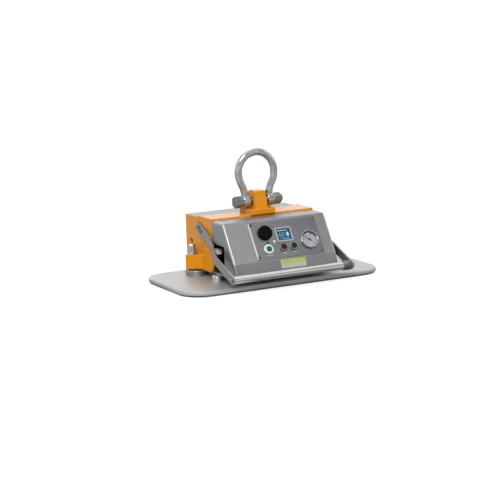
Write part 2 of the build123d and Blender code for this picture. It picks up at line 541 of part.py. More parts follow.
PUMP_X = INNER - 78
mounts = [post(PUMP_X + x, y, deck, deck + 8, 8) for x in (-36, 36) for y in (14, 130)]
save("pump_mounts", Compound(children=mounts))
bed = deck + 8
motor_z = bed + 3 + 34
cradle = block(PUMP_X - 45, PUMP_X + 45, 5, 140, bed, bed + 3)
cradle = cradle + block(PUMP_X - 24, PUMP_X + 24, 80, 110, bed + 3, motor_z - 10)
cradle = cradle - bar_y(50, 160, PUMP_X, motor_z, 32)
save("pump_cradle", cradle)
motor = bar_y(58, 136, PUMP_X, motor_z, 32) + bar_y(136, 142, PUMP_X, motor_z, 14)
motor = chamfer([e for e in motor.edges().filter_by(GeomType.CIRCLE) if e.radius > 31], 1.5)
save("pump_motor", motor)
pump = block(PUMP_X - 38, PUMP_X + 38, 12, 58, bed + 3, bed + 60)
pump = fillet(pump.edges().filter_by(Axis.Y), 5)
for x in (-20, 20):
    pump = pump + post(PUMP_X + x, 35, bed + 55, bed + 82, 17)
    for fin in range(4):
        pump = pump + post(PUMP_X + x, 35, bed + 62 + 5 * fin, bed + 64 + 5 * fin, 19.5)
pump = pump + bar_y(6, 12, PUMP_X - 12, bed + 36, 8)
save("vacuum_pump", pump)

tank = bar_x(-150, 40, TANK_Y, TANK_Z, TANK_R)
tank = fillet(tank.edges().filter_by(GeomType.CIRCLE), 12)
tank = tank + bar_x(39, 48, TANK_Y, TANK_Z, 8)
for x in (-40, 15):
    tank = tank + post(x, TANK_Y, TANK_Z + 20, TANK_Z + TANK_R + 4, 8)
save("reservoir", tank)
saddles = []
for x in (-118, 0):
    saddle = block(x - 8, x + 8, TANK_Y - 24, TANK_Y + 24, deck, TANK_Z - 6)
    saddles.append(saddle - bar_x(-160, 60, TANK_Y, TANK_Z, TANK_R))
save("reservoir_saddles", Compound(children=saddles))

# hoses: valve to tank, tank to pump, tank to gauge
tank_top = TANK_Z + TANK_R + 4
hose_a = tube_along([(-15, 5, deck + 41), (-22, -14, deck + 88), (-40, TANK_Y, tank_top)],
                    (0, 0, 1), (0, 0, -1), 5)
hose_b = tube_along([(48, TANK_Y, TANK_Z), (80, -34, TANK_Z + 4), (PUMP_X - 12, 6, bed + 36)],
                    (1, 0, 0), (0, 1, 0), 5)
stem_end = panel.location * Pos(GAUGE[0], -GAUGE[1], -46) * Location()
stem_at = stem_end.position
hose_c = tube_along([(stem_at.X, stem_at.Y, stem_at.Z), (60, -62, tank_top + 16), (15, TANK_Y, tank_top)],
                    (0, -out.Y, -out.Z), (0, 0, -1), 4.5)
save("hoses", Compound(children=[hose_a, hose_b, hose_c]))

# controller board on four standoffs behind the display
board = slab(70, 52, -24, -22.4)
for x in (-31, 31):
    for y in (-22, 22):
        board = board + Pos(x, y, 0) * disc(2.2, -22.4, -SHEET)
board = board + Pos(0, 8, 0) * slab(30, 16, -22.4, -17) + Pos(12, -14, 0) * slab(20, 10, -32, -24)
board = on_panel(board, SCREEN[0], SCREEN[1])
save("control_board", board)
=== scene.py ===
"""Battery vacuum lifter: the finish of every piece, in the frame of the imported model.  Metres, +Z up."""
import json
from math import cos, pi, radians, sin

import bmesh
import bpy
from mathutils import Matrix, Vector


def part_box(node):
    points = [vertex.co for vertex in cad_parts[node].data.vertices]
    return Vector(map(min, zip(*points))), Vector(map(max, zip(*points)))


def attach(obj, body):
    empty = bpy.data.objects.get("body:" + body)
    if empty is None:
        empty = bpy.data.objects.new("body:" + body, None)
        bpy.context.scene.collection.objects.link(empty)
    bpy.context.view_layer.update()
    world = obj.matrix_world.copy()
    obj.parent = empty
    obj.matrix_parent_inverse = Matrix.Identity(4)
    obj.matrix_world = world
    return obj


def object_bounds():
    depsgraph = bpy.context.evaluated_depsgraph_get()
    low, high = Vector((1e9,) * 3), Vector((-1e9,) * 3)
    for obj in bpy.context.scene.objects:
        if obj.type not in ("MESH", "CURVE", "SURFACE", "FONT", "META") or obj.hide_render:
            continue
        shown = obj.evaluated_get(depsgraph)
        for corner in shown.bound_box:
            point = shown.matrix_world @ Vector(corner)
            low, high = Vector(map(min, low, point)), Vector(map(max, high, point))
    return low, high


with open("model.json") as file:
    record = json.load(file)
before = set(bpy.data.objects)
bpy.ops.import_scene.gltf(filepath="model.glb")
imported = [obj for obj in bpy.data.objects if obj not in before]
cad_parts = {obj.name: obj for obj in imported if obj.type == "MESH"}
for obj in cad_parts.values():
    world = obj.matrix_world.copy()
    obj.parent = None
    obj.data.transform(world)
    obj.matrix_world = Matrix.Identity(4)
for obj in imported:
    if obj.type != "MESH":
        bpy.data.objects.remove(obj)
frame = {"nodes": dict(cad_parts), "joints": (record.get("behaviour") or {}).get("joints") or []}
cad_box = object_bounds()
nodes = frame["nodes"]

# ---- suction plate -----------------------------------------------------------------------
# A rolled aluminium plate with rounded corners and a chamfered top edge.  It is brushed along
# its length, and handling has left fine scratches, dust and bright worn edges.
MM = 0.001
SETTLED_DUST = (0.50, 0.47, 0.43)
EDGE_SAMPLES = 4
SCRATCH_LAYS = ((0.35, (4, 260, 90)), (-0.6, (5, 300, 120)), (1.4, (6, 220, 140)))


def new_effect(name, inputs, outputs):
    """Start a shader node group; returns the group, its incoming and its outgoing sockets."""
    group = bpy.data.node_groups.new(name, "ShaderNodeTree")
    for label, value in inputs.items():
        kind = "NodeSocketVector" if isinstance(value, tuple) else "NodeSocketFloat"
        group.interface.new_socket(label, in_out="INPUT", socket_type=kind).default_value = value
    for label in outputs:
        group.interface.new_socket(label, in_out="OUTPUT", socket_type="NodeSocketFloat")
    return group, group.nodes.new("NodeGroupInput").outputs, group.nodes.new("NodeGroupOutput").inputs


def fill(tree, made, sockets):
    """Give a node's sockets their values, or link them to other sockets."""
    for key, value in sockets.items():
        if isinstance(value, bpy.types.NodeSocket):
            tree.links.new(value, made.inputs[key])
        else:
            made.inputs[key].default_value = value
    return made


def node(tree, kind, sockets, **settings):
    """Add a shader node; sockets gives values or the sockets to link from."""
    made = tree.nodes.new("ShaderNode" + kind)
    for key, value in settings.items():
        setattr(made, key, value)
    return fill(tree, made, sockets)


def value_of(tree, operation, a, b=0.0, clamp=False):
    """One step of arithmetic on values."""
    return node(tree, "Math", {0: a, 1: b}, operation=operation, use_clamp=clamp).outputs[0]


def scaled(tree, value, by, plus=0.0):
    """A value times one number, plus another."""
    return node(tree, "Math", {0: value, 1: by, 2: plus}, operation="MULTIPLY_ADD").outputs[0]


def stretch_to(tree, value, low, high):
    """Spread the stretch low..high of a value over 0..1."""
    made = node(tree, "MapRange", {"Value": value, "From Min": low, "From Max": high})
    return made.outputs["Result"]


def axis_of(tree, vector, axis):
    """One of a vector's three numbers."""
    return node(tree, "SeparateXYZ", {0: vector}).outputs[axis]


def mixed(tree, factor, a, b):
    """A colour between two colours, each given as red, green and blue or as a socket."""
    a, b = ((*colour, 1) if isinstance(colour, tuple) else colour for colour in (a, b))
    return node(tree, "Mix", {0: factor, 6: a, 7: b}, data_type="RGBA").outputs[2]


# grain: noise drawn out along one direction
grain, given, gives = new_effect("Brushed grain", {"Place": (0, 0, 0), "Stretch": (1, 1, 1)}, ["Grain"])
drawn_out = node(grain, "Mapping", {"Vector": given["Place"], "Scale": given["Stretch"]})
fibre = node(grain, "TexNoise", {"Vector": drawn_out.outputs[0], "Scale": 1.0, "Detail": 4.0, "Roughness": 0.7})
grain.links.new(stretch_to(grain, fibre.outputs["Fac"], 0.25, 0.75), gives["Grain"])

# clouding: slow, soft differences over a surface
clouding, given, gives = new_effect("Clouding", {"Place": (0, 0, 0), "Scale": 8.0}, ["Cloud"])
cloud = node(clouding, "TexNoise", {"Vector": given["Place"], "Scale": given["Scale"], "Detail": 5.0,
                                    "Roughness": 0.6, "Distortion": 0.4})
clouding.links.new(stretch_to(clouding, cloud.outputs["Fac"], 0.3, 0.7), gives["Cloud"])

# worn edges: where the rounded normal leaves the true one, broken up by noise
wear, given, gives = new_effect("Worn edges", {"Place": (0, 0, 0), "Reach": 0.001, "Breakup": 60.0}, ["Wear"])
rounded = node(wear, "Bevel", {"Radius": given["Reach"]}, samples=EDGE_SAMPLES).outputs[0]
true_normal = node(wear, "NewGeometry", {}).outputs["Normal"]
facing = node(wear, "VectorMath", {0: rounded, 1: true_normal}, operation="DOT_PRODUCT").outputs["Value"]
edge = stretch_to(wear, facing, 0.995, 0.80)
patchy = node(wear, "TexNoise", {"Vector": given["Place"], "Scale": given["Breakup"], "Detail": 3.0})
worn = value_of(wear, "MULTIPLY", edge, stretch_to(wear, patchy.outputs["Fac"], 0.30, 0.60), clamp=True)
wear.links.new(worn, gives["Wear"])

# dust: lies on faces that look up
dust, given, gives = new_effect("Settled dust", {"Place": (0, 0, 0), "Scale": 25.0}, ["Dust"])
upward = axis_of(dust, node(dust, "NewGeometry", {}).outputs["Normal"], "Z")
specks = node(dust, "TexNoise", {"Vector": given["Place"], "Scale": given["Scale"], "Detail": 8.0,
                                 "Roughness": 0.75}).outputs["Fac"]
lying = value_of(dust, "MULTIPLY", stretch_to(dust, upward, 0.3, 1.0), stretch_to(dust, specks, 0.42, 0.75))
dust.links.new(lying, gives["Dust"])

# scratches: thin lines in three crossing directions
scratches, given, gives = new_effect("Fine scratches", {"Place": (0, 0, 0), "Density": 0.3}, ["Scratch"])
lines = []
for turn, scale in SCRATCH_LAYS:
    laid = node(scratches, "Mapping", {"Vector": given["Place"], "Scale": scale,
                                       "Rotation": (0.2, turn * 0.6, turn)})
    line = node(scratches, "TexNoise", {"Vector": laid.outputs[0], "Scale": 1.0, "Detail": 1.0})
    lines.append(stretch_to(scratches, line.outputs["Fac"], 0.70, 0.76))
crossed = value_of(scratches, "MAXIMUM", value_of(scratches, "MAXIMUM", lines[0], lines[1]), lines[2])
scratches.links.new(value_of(scratches, "MULTIPLY", crossed, given["Density"]), gives["Scratch"])


def effect(tree, group, sockets):
    """Place a shared effect in a material and return its value."""
    made = tree.nodes.new("ShaderNodeGroup")
    made.node_tree = group
    return fill(tree, made, sockets).outputs[0]


def new_material(name):
    """Empty material: its node tree, its shader and its object coordinates."""
    material = bpy.data.materials.new(name)
    material.use_nodes = True
    tree = material.node_tree
    place = tree.nodes.new("ShaderNodeTexCoord").outputs["Object"]
    return material, tree, tree.nodes["Principled BSDF"], place


def relief(tree, height, strength, depth, round_off):
    """Fine relief on a surface whose edges are rounded off a little."""
    smooth = node(tree, "Bevel", {"Radius": round_off}, samples=EDGE_SAMPLES).outputs[0]
    return node(tree, "Bump", {"Strength": strength, "Distance": depth, "Height": height,
                               "Normal": smooth}).outputs[0]


def bare_metal(name, dark, light, rough, stretch, edge_reach=0.8 * MM, bright=(0.85, 0.85, 0.86), bump=0.12,
               dusty=0.15, scratched=0.35, rough_spread=0.16, clouds=7.0, metal=1.0):
    """Brushed or turned metal: grain along one direction, clouding, scratches, dust and bright edges."""
    grain_share, scratch_share, scratch_depth, grain_depth = 0.55, 0.6, 1.5, 0.15 * MM
    rough_from_dust, rough_from_clouds = 0.4, 0.10
    material, tree, shader, place = new_material(name)
    fibre = effect(tree, grain, {"Place": place, "Stretch": stretch})
    soft = effect(tree, clouding, {"Place": place, "Scale": clouds})
    scratch = effect(tree, scratches, {"Place": place, "Density": scratched})
    worn = effect(tree, wear, {"Place": place, "Reach": edge_reach})
    film = scaled(tree, effect(tree, dust, {"Place": place}), dusty)
    shade = value_of(tree, "ADD", scaled(tree, fibre, grain_share), scaled(tree, soft, 1 - grain_share))
    rubbed = value_of(tree, "MAXIMUM", worn, scaled(tree, scratch, scratch_share))
    colour = mixed(tree, rubbed, mixed(tree, shade, dark, light), bright)
    roughness = scaled(tree, fibre, rough_spread, rough - rough_spread / 2)
    roughness = value_of(tree, "ADD", roughness, scaled(tree, film, rough_from_dust))
    roughness = value_of(tree, "ADD", roughness, scaled(tree, soft, rough_from_clouds, -rough_from_clouds / 2))
    height = value_of(tree, "ADD", fibre, scaled(tree, scratch, -scratch_depth))
    fill(tree, shader, {"Base Color": mixed(tree, film, colour, SETTLED_DUST),
                        "Roughness": roughness,
                        "Metallic": value_of(tree, "SUBTRACT", metal, film, clamp=True),
                        "Normal": relief(tree, height, bump, grain_depth, edge_reach * 0.6)})
    return material


def dress(material, *names):
    """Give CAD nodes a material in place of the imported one."""
    for name in names:
        nodes[name].data.materials.clear()
        nodes[name].data.materials.append(material)


plate_alloy = bare_metal("Plate alloy", (0.40, 0.40, 0.405), (0.46, 0.46, 0.465), rough=0.46,
                         stretch=(14, 420, 300), edge_reach=0.5 * MM, dusty=0.2, scratched=0.2, metal=0.62)
dress(plate_alloy, "suction_plate")

# ---- suction seal, port seal and pump mounts ---------------------------------------------
# Black moulded rubber: a broad sealing ring in a groove of the plate, a soft ring round the
# port, and four buffers that carry the pump.  Dull, slightly grey where it has been handled.


def moulded(name, dark, light, rough, grit=900.0, bump=0.25, edge_reach=0.5 * MM, edge_tint=None, dusty=0.1,
            coat=0.0, clouds=20.0, gloss=0.3):
    """Moulded rubber or plastic: fine grit, clouding, rubbed edges and a little dust."""
    rubbed_share, rough_spread, rough_from_dust, grit_depth = 0.6, 0.16, 0.5, 0.1 * MM
    material, tree, shader, place = new_material(name)
    soft = effect(tree, clouding, {"Place": place, "Scale": clouds})
    worn = effect(tree, wear, {"Place": place, "Reach": edge_reach, "Breakup": 120.0})
    film = scaled(tree, effect(tree, dust, {"Place": place, "Scale": 60.0}), dusty)
    grains = node(tree, "TexNoise", {"Vector": place, "Scale": grit, "Detail": 3.0}).outputs["Fac"]
    rubbed = edge_tint or tuple(min(1.0, 1.8 * c + 0.03) for c in light)
    colour = mixed(tree, scaled(tree, worn, rubbed_share), mixed(tree, soft, dark, light), rubbed)
    roughness = scaled(tree, grains, rough_spread, rough - rough_spread / 2)
    roughness = value_of(tree, "ADD", roughness, scaled(tree, film, rough_from_dust))
    fill(tree, shader, {"Base Color": mixed(tree, film, colour, SETTLED_DUST),
                        "Roughness": roughness,
                        "Normal": relief(tree, grains, bump, grit_depth, edge_reach),
                        "Specular IOR Level": gloss, "Coat Weight": coat, "Coat Roughness": 0.08})
    return material


dress(moulded("Seal rubber", (0.10, 0.10, 0.098), (0.15, 0.15, 0.147), rough=0.62), "suction_seal")
dress(moulded("Black rubber", (0.012, 0.012, 0.013), (0.022, 0.022, 0.023), rough=0.62),
      "port_seal", "pump_mounts")

# ---- port boss, pads and front feet ------------------------------------------------------
# Turned steel pieces between the plate and the housing, with lathe marks round their axes and
# clean chamfers.  The round pads with their studs are given a darker steel colour: painted shade
# for where they stand under the frame.
turned_steel = bare_metal("Turned steel", (0.66, 0.66, 0.67), (0.82, 0.82, 0.83), rough=0.26,
                          stretch=(60, 60, 1400), edge_reach=0.6 * MM)
dress(turned_steel, "port_boss", "front_feet")
# darker steel on the rear studs is painted shade under the frame
shaded_stud_steel = bare_metal("Stud steel with painted shade", (0.26, 0.255, 0.25), (0.40, 0.395, 0.385), rough=0.24,
                        stretch=(60, 60, 1400), edge_reach=0.6 * MM)
dress(shaded_stud_steel, "rear_studs")

# ---- painted frame -----------------------------------------------------------------------
# Side plates, channel crossbeam, clamp brackets and the crane lug, flame-cut from steel plate,
# welded and coated in glossy orange.  The coat thins on edges and shows a slight orange peel.
PAINT_DUST = (0.50, 0.45, 0.38)


def painted(name, colour, deep, rough=0.30, coat=0.5, peel=260.0, bump=0.10, edge_reach=1.0 * MM,
            chip=(0.50, 0.36, 0.24), dusty=0.18, chipped=0.5):
    """Glossy coating over steel: orange peel, thin places at edges, grime and dust."""
    rough_spread, rough_from_dust, peel_depth = 0.12, 0.5, 0.4 * MM
    material, tree, shader, place = new_material(name)
    soft = effect(tree, clouding, {"Place": place, "Scale": 9.0})
    worn = effect(tree, wear, {"Place": place, "Reach": edge_reach, "Breakup": 90.0})
    scratch = effect(tree, scratches, {"Place": place, "Density": 0.15})
    film = scaled(tree, effect(tree, dust, {"Place": place}), dusty)
    skin = node(tree, "TexNoise", {"Vector": place, "Scale": peel, "Detail": 2.0}).outputs["Fac"]
    marked = value_of(tree, "MAXIMUM", scaled(tree, worn, chipped), scratch)
    tint = mixed(tree, marked, mixed(tree, soft, deep, colour), chip)
    roughness = scaled(tree, soft, rough_spread, rough - rough_spread / 2)
    roughness = value_of(tree, "ADD", roughness, scaled(tree, film, rough_from_dust))
    # the coat is glossier where it is seen aslant
    aslant = node(tree, "LayerWeight", {"Blend": 0.5}).outputs["Facing"]
    gloss = node(tree, "MapRange", {"Value": aslant, "From Min": 0.35, "From Max": 0.85,
                                    "To Min": 0.15 * coat, "To Max": coat}).outputs["Result"]
    fill(tree, shader, {"Base Color": mixed(tree, film, tint, PAINT_DUST),
                        "Roughness": roughness,
                        "Normal": relief(tree, skin, bump, peel_depth, edge_reach * 0.8),
                        "Specular IOR Level": 0.1, "Coat Weight": gloss, "Coat Roughness": 0.16})
    return material


orange_paint = painted("Orange coat", (0.79, 0.295, 0.002), (0.72, 0.255, 0.002), rough=0.45, coat=1.0)
dress(orange_paint, "side_plate_left", "side_plate_right", "crossbeam", "suspension_lug",
      "clamp_bracket_left", "clamp_bracket_right")

# ---- weld beads --------------------------------------------------------------------------
# Each clamp bracket is welded to its side plate: a rippled bead runs up both edges and across
# the top of the shelf.  The beads are under the same orange coat.
BEAD_R = 2.2 * MM
BEAD_END = 0.7
BEAD_SIDES = 8
BEAD_FOOT = 3 * MM
RIPPLE = 2.4 * MM
RIPPLE_RINGS = 3
RIPPLE_SWELL = 0.13


def add_object(name, mesh, material, body):
    """Wrap a finished bmesh as a piece that rides on a body."""
    data = bpy.data.meshes.new(name)
    mesh.to_mesh(data)
    mesh.free()
    made = bpy.data.objects.new(name, data)
    bpy.context.scene.collection.objects.link(made)
    made.data.materials.append(material)
    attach(made, body)
    return made


def bead(mesh, start, end):
    """A run of weld: a rod whose rings swell and shrink."""
    run = end - start
    rings = max(2 * RIPPLE_RINGS, int(run.length / RIPPLE) * RIPPLE_RINGS)
    turn = run.to_track_quat("Z", "Y").to_matrix().to_4x4()
    circle = bmesh.ops.create_circle(mesh, cap_ends=True, segments=BEAD_SIDES, radius=BEAD_R * BEAD_END,
                                     matrix=Matrix.Translation(start) @ turn)
    face = next(f for v in circle["verts"] for f in v.link_faces)
    for ring in range(rings):
        face = bmesh.ops.extrude_discrete_faces(mesh, faces=[face])["faces"][0]
        swell = 1.0 + RIPPLE_SWELL * cos(2 * pi * ring / RIPPLE_RINGS)
        centre = start + run * ((ring + 1) / rings)
        size = BEAD_R * swell * (BEAD_END if ring == rings - 1 else 1.0)
        now = face.calc_center_median()
        reach = max((v.co - now).length for v in face.verts)
        for v in face.verts:
            v.co = centre + (v.co - now) * (size / reach)


for side, sign in (("left", -1), ("right", 1)):
    low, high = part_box(f"clamp_bracket_{side}")
    seam_x = low.x if sign > 0 else high.x
    beads = bmesh.new()
    for y in (low.y, high.y):
        bead(beads, Vector((seam_x, y, low.z + BEAD_FOOT)), Vector((seam_x, y, high.z)))
    bead(beads, Vector((seam_x, low.y, high.z)), Vector((seam_x, high.y, high.z)))
    bmesh.ops.recalc_face_normals(beads, faces=beads.faces)
    for f in beads.faces:
        f.smooth = True
    add_object(f"bracket_weld_{side}", beads, orange_paint, "frame")

# ---- clamp nuts --------------------------------------------------------------------------
# Domed and fluted nuts on the clamp studs, turned from bar and chromium plated.  They mirror
# the orange round them and show a few handling marks.
bright_nut = bare_metal("Plated nut", (0.46, 0.455, 0.45), (0.62, 0.615, 0.61), rough=0.11,
                        stretch=(90, 90, 700), edge_reach=0.5 * MM, bump=0.05, dusty=0.1, scratched=0.25,
                        rough_spread=0.08)
dress(bright_nut, "clamp_nut_left", "clamp_nut_right")

# ---- lug bolts, housing screws, handle bolts ---------------------------------------------
# Zinc-plated fasteners that hold the lug, the housing and the handle.  They have dulled
# slightly, and the corners of their hexagons are brighter.
fastener_steel = bare_metal("Zinc fastener", (0.30, 0.30, 0.30), (0.46, 0.46, 0.45), rough=0.34,
                            stretch=(300, 300, 300), edge_reach=0.5 * MM, dusty=0.2)
dress(fastener_steel, "lug_bolts", "housing_screws", "handle_bolts", "grip_bolts")

# ---- housing -----------------------------------------------------------------------------
# Folded stainless sheet, brushed along its width: the hood with its rounded bends, the louvred
# rear cover and the floor tray.  Bends and rims are polished bright by handling.
sheet_steel = bare_metal("Brushed sheet", (0.285, 0.285, 0.296), (0.325, 0.325, 0.336), rough=0.34,
                         stretch=(26, 1300, 1300), edge_reach=2.6 * MM, bright=(0.72, 0.72, 0.73), bump=0.04,
                         dusty=0.4, scratched=0.12, rough_spread=0.08, metal=0.75)
dress(sheet_steel, "front_hood", "rear_cover", "base_tray")

# ---- control plate -----------------------------------------------------------------------
# A flat overlay of satin sheet with rounded corners, screwed to the sloping front.  Its cut
# edge catches the light.
panel_steel = bare_metal("Satin overlay", (0.232, 0.230, 0.247), (0.262, 0.260, 0.278), rough=0.34,
                         stretch=(30, 1600, 1600), edge_reach=1.0 * MM, bright=(0.60, 0.60, 0.62), bump=0.03,
                         dusty=0.08, scratched=0.15, rough_spread=0.06)
dress(panel_steel, "control_plate")

# ---- control-plate screws ----------------------------------------------------------------
# Four small steel screws that hold the overlay.  The pair on the left is still blackened, and
# the pair on the right has worn to grey.
WORN_GREY = (0.20, 0.20, 0.207)
panel_screw = bare_metal("Panel screw", (0.05, 0.05, 0.052), (0.10, 0.10, 0.103), rough=0.38,
                         stretch=(300, 300, 300), edge_reach=0.3 * MM, bright=(0.25, 0.25, 0.26), dusty=0.05)
tree = panel_screw.node_tree
shader = tree.nodes["Principled BSDF"]
blackened = shader.inputs["Base Color"].links[0].from_socket
along = axis_of(tree, tree.nodes["Texture Coordinate"].outputs["Object"], "X")
fill(tree, shader, {"Base Color": mixed(tree, stretch_to(tree, along, 0.0, 10 * MM), blackened, WORN_GREY)})
dress(panel_screw, "control_screws")

# ---- blank legend strips -----------------------------------------------------------------
# Thin pale enamel strips, one under each push button.  They are glued to the overlay and
# carry nothing.
STRIP_DROP = 20.5 * MM
STRIP_WIDTHS = {"power": 24 * MM, "release": 15 * MM, "lift": 17 * MM}
STRIP_HIGH, STRIP_THICK, STRIP_CORNER = 3.4 * MM, 0.25 * MM, 0.8 * MM
OVERLAY_OUT = 1.0 * MM

# the sloping front's own directions, from the way the buttons are pressed
press = next(j for j in frame["joints"] if j["name"] == "power_press")
outward = -Vector(press["axis"]).normalized()
across = Vector((1, 0, 0))
uphill = outward.cross(across)
front_turn = Matrix((across, uphill, outward)).transposed().to_4x4()


def middle(name):
    """Centre of a CAD node's box."""
    low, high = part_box(name)
    return (low + high) / 2


def on_front(point, lift=0.0, right=0.0, up=0.0):
    """Place on the sloping front: local +Z is outward, +Y uphill."""
    return Matrix.Translation(point + outward * lift + across * right + uphill * up) @ front_turn


def flat_tile(mesh, width, height, thick, place, corner=0.0):
    """A thin rectangular tile, its back on the given place."""
    stood = Matrix.Translation((0, 0, thick / 2)) @ Matrix.Diagonal((width, height, thick, 1))
    verts = bmesh.ops.create_cube(mesh, size=1.0, matrix=stood)["verts"]
    if corner:
        edges = dict.fromkeys(e for v in verts for e in v.link_edges)
        uprights = [e for e in edges if abs(e.verts[0].co.z - e.verts[1].co.z) > thick / 2]
        rounded = bmesh.ops.bevel(mesh, geom=uprights, offset=corner, segments=4, profile=0.5,
                                  affect="EDGES", material=-1)
        corners = dict.fromkeys(v for f in rounded["faces"] for v in f.verts)
        verts = list(dict.fromkeys(v for c in corners for e in c.link_edges for v in e.verts))
    bmesh.ops.transform(mesh, matrix=place, verts=verts)


legend_enamel = moulded("Legend enamel", (0.34, 0.32, 0.35), (0.44, 0.42, 0.45), rough=0.4, bump=0.1)
overlay_face = middle("control_plate") + outward * OVERLAY_OUT
strips = bmesh.new()
for button, width in STRIP_WIDTHS.items():
    from_middle = middle(f"{button}_cap") - overlay_face
    place = on_front(overlay_face, right=from_middle.x, up=from_middle.dot(uphill) - STRIP_DROP)
    flat_tile(strips, width, STRIP_HIGH, STRIP_THICK, place, STRIP_CORNER)
add_object("legend_strips", strips, legend_enamel, "frame")

# ---- edge highlight strip ----------------------------------------------------------------
# Narrow pale strip with rounded ends along the left edge of the control plate: a painted
# highlight where the plate's cut edge catches the light.
EDGE_WIDE, EDGE_LONG, EDGE_THICK, EDGE_CORNER = 3.6 * MM, 124 * MM, 0.5 * MM, 0.6 * MM
EDGE_INSET = 1 * MM
# the strip's near-white colour is a painted highlight on the plate's left edge
edge_highlight_finish = bare_metal("Painted edge highlight", (0.78, 0.78, 0.79), (0.90, 0.90, 0.91), rough=0.5,
                            stretch=(400, 30, 400), edge_reach=0.3 * MM, bump=0.03, dusty=0.4, scratched=0.1)
low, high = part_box("control_plate")
edge_highlight_mesh = bmesh.new()
edge_place = on_front(overlay_face, right=(low.x - high.x) / 2 + EDGE_WIDE / 2 + EDGE_INSET)
flat_tile(edge_highlight_mesh, EDGE_WIDE, EDGE_LONG, EDGE_THICK, edge_place, EDGE_CORNER)
add_object("panel_edge_highlight", edge_highlight_mesh, edge_highlight_finish, "frame")

# ---- siren, charging socket --------------------------------------------------------------
# Black moulded nylon with a fine satin grain: the siren's round housing and grille, let into
# the control plate, and the socket in the rear cover.
siren_black = moulded("Siren nylon", (0.002, 0.002, 0.003), (0.005, 0.005, 0.006), rough=0.6,
                      edge_tint=(0.02, 0.02, 0.022), dusty=0.0, gloss=0.06)
dress(siren_black, "siren_housing", "siren_grille", "charging_socket")

# ---- display -----------------------------------------------------------------------------
# Backlit screen behind a clear window in a pale frame: a status line, the reading in large
# figures, a bar of segments and a lit foot.
SCREEN_OUT = 0.2 * MM
LIT_THICK = 0.12 * MM
FIGURE_THICK = 0.06 * MM
READING_SIZE, READING_HEAVIER = 23 * MM, 0.5 * MM
READING_RIGHT, READING_UP = -8 * MM, -1 * MM
FOOT_LINES, FOOT_LONG, FOOT_SHORTER, FOOT_HIGH = 3, 36 * MM, 5 * MM, 1.7 * MM
FOOT_RIGHT, FOOT_UP, FOOT_STEP = 1 * MM, -12.2 * MM, 2.6 * MM
STATUS_LONG, STATUS_HIGH, STATUS_RIGHT, STATUS_UP = 37 * MM, 2.2 * MM, -3 * MM, 14 * MM
SEGMENT_WIDE, SEGMENT_HIGH, SEGMENT_CORNER, SEGMENT_RIGHT = 8.5 * MM, 14 * MM, 2 * MM, 13.5 * MM
display_frame = moulded("Display frame", (0.30, 0.34, 0.39), (0.42, 0.46, 0.52), rough=0.30, coat=0.3)
dress(display_frame, "display_bezel")
display_face = moulded("Display glass", (0.006, 0.028, 0.060), (0.010, 0.045, 0.090), rough=0.12, bump=0.0,
                       coat=0.4, dusty=0.03, clouds=60.0)
dress(display_face, "display_screen")


def glowing(name, colour, strength):
    """A colour that glows a little, uneven like a lamp behind it: backlit film on the display, and a painted glint
    on the power cap.
    """
    material, tree, shader, place = new_material(name)
    soft = effect(tree, clouding, {"Place": place, "Scale": 90.0})
    glow = mixed(tree, soft, tuple(0.7 * c for c in colour), colour)
    fill(tree, shader, {"Base Color": glow, "Emission Color": glow, "Emission Strength": strength,
                        "Roughness": 0.4})
    return material


def figures(mesh, text, size, place, heavier=0.0):
    """Set plain figures, centred on a place, into a mesh."""
    curve = bpy.data.curves.new("figures", "FONT")
    curve.body = text
    curve.size = size
    curve.align_x = "CENTER"
    curve.align_y = "CENTER"
    curve.extrude = FIGURE_THICK
    curve.offset = heavier
    curve.resolution_u = 3
    holder = bpy.data.objects.new("figures", curve)
    bpy.context.scene.collection.objects.link(holder)
    bpy.context.view_layer.update()
    drawn = bpy.data.meshes.new_from_object(holder.evaluated_get(bpy.context.evaluated_depsgraph_get()))
    drawn.transform(place)
    mesh.from_mesh(drawn)
    bpy.data.objects.remove(holder)
    bpy.data.curves.remove(curve)
    bpy.data.meshes.remove(drawn)


cyan_film = glowing("Cyan film", (0.06, 0.30, 0.44), 0.20)
pale_film = glowing("Pale film", (0.42, 0.66, 0.75), 0.30)
screen_middle = middle("display_bezel") + outward * SCREEN_OUT
cyan = bmesh.new()
figures(cyan, "60", READING_SIZE, on_front(screen_middle, right=READING_RIGHT, up=READING_UP), READING_HEAVIER)
for row in range(FOOT_LINES):
    foot_place = on_front(screen_middle, right=FOOT_RIGHT * (1 + row), up=FOOT_UP - FOOT_STEP * row)
    flat_tile(cyan, FOOT_LONG - FOOT_SHORTER * row, FOOT_HIGH, LIT_THICK, foot_place)
add_object("display_figures", cyan, cyan_film, "frame")
pale = bmesh.new()
flat_tile(pale, STATUS_LONG, STATUS_HIGH, LIT_THICK, on_front(screen_middle, right=STATUS_RIGHT, up=STATUS_UP))
flat_tile(pale, SEGMENT_WIDE, SEGMENT_HIGH, LIT_THICK, on_front(screen_middle, right=SEGMENT_RIGHT),
          SEGMENT_CORNER)
add_object("display_marks", pale, pale_film, "frame")

# ---- status lamps ------------------------------------------------------------------------
# Two small lamps with domed clear lenses, pressed into the overlay.  The left one is dark, and
# the right one's lens is painted pale white to look switched on, without a glow of its own.
LAMP_SPLIT = 11 * MM
lamp_lens, tree, shader, place = new_material("Lamp lens")
lamp_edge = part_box("status_lamps")[0].x + LAMP_SPLIT
right_one = stretch_to(tree, axis_of(tree, place, "X"), lamp_edge, lamp_edge + 1 * MM)
soft = effect(tree, clouding, {"Place": place, "Scale": 120.0})
# pale lens colour: painted light of a switched-on lamp
painted_on_lens = mixed(tree, soft, (0.74, 0.76, 0.74), (0.90, 0.92, 0.90))
lens_dark = mixed(tree, soft, (0.010, 0.013, 0.012), (0.020, 0.026, 0.024))
fill(tree, shader, {"Base Color": mixed(tree, right_one, lens_dark, painted_on_lens),
                    "Roughness": scaled(tree, soft, 0.1, 0.5), "Coat Weight": 0.5})
dress(lamp_lens, "status_lamps")
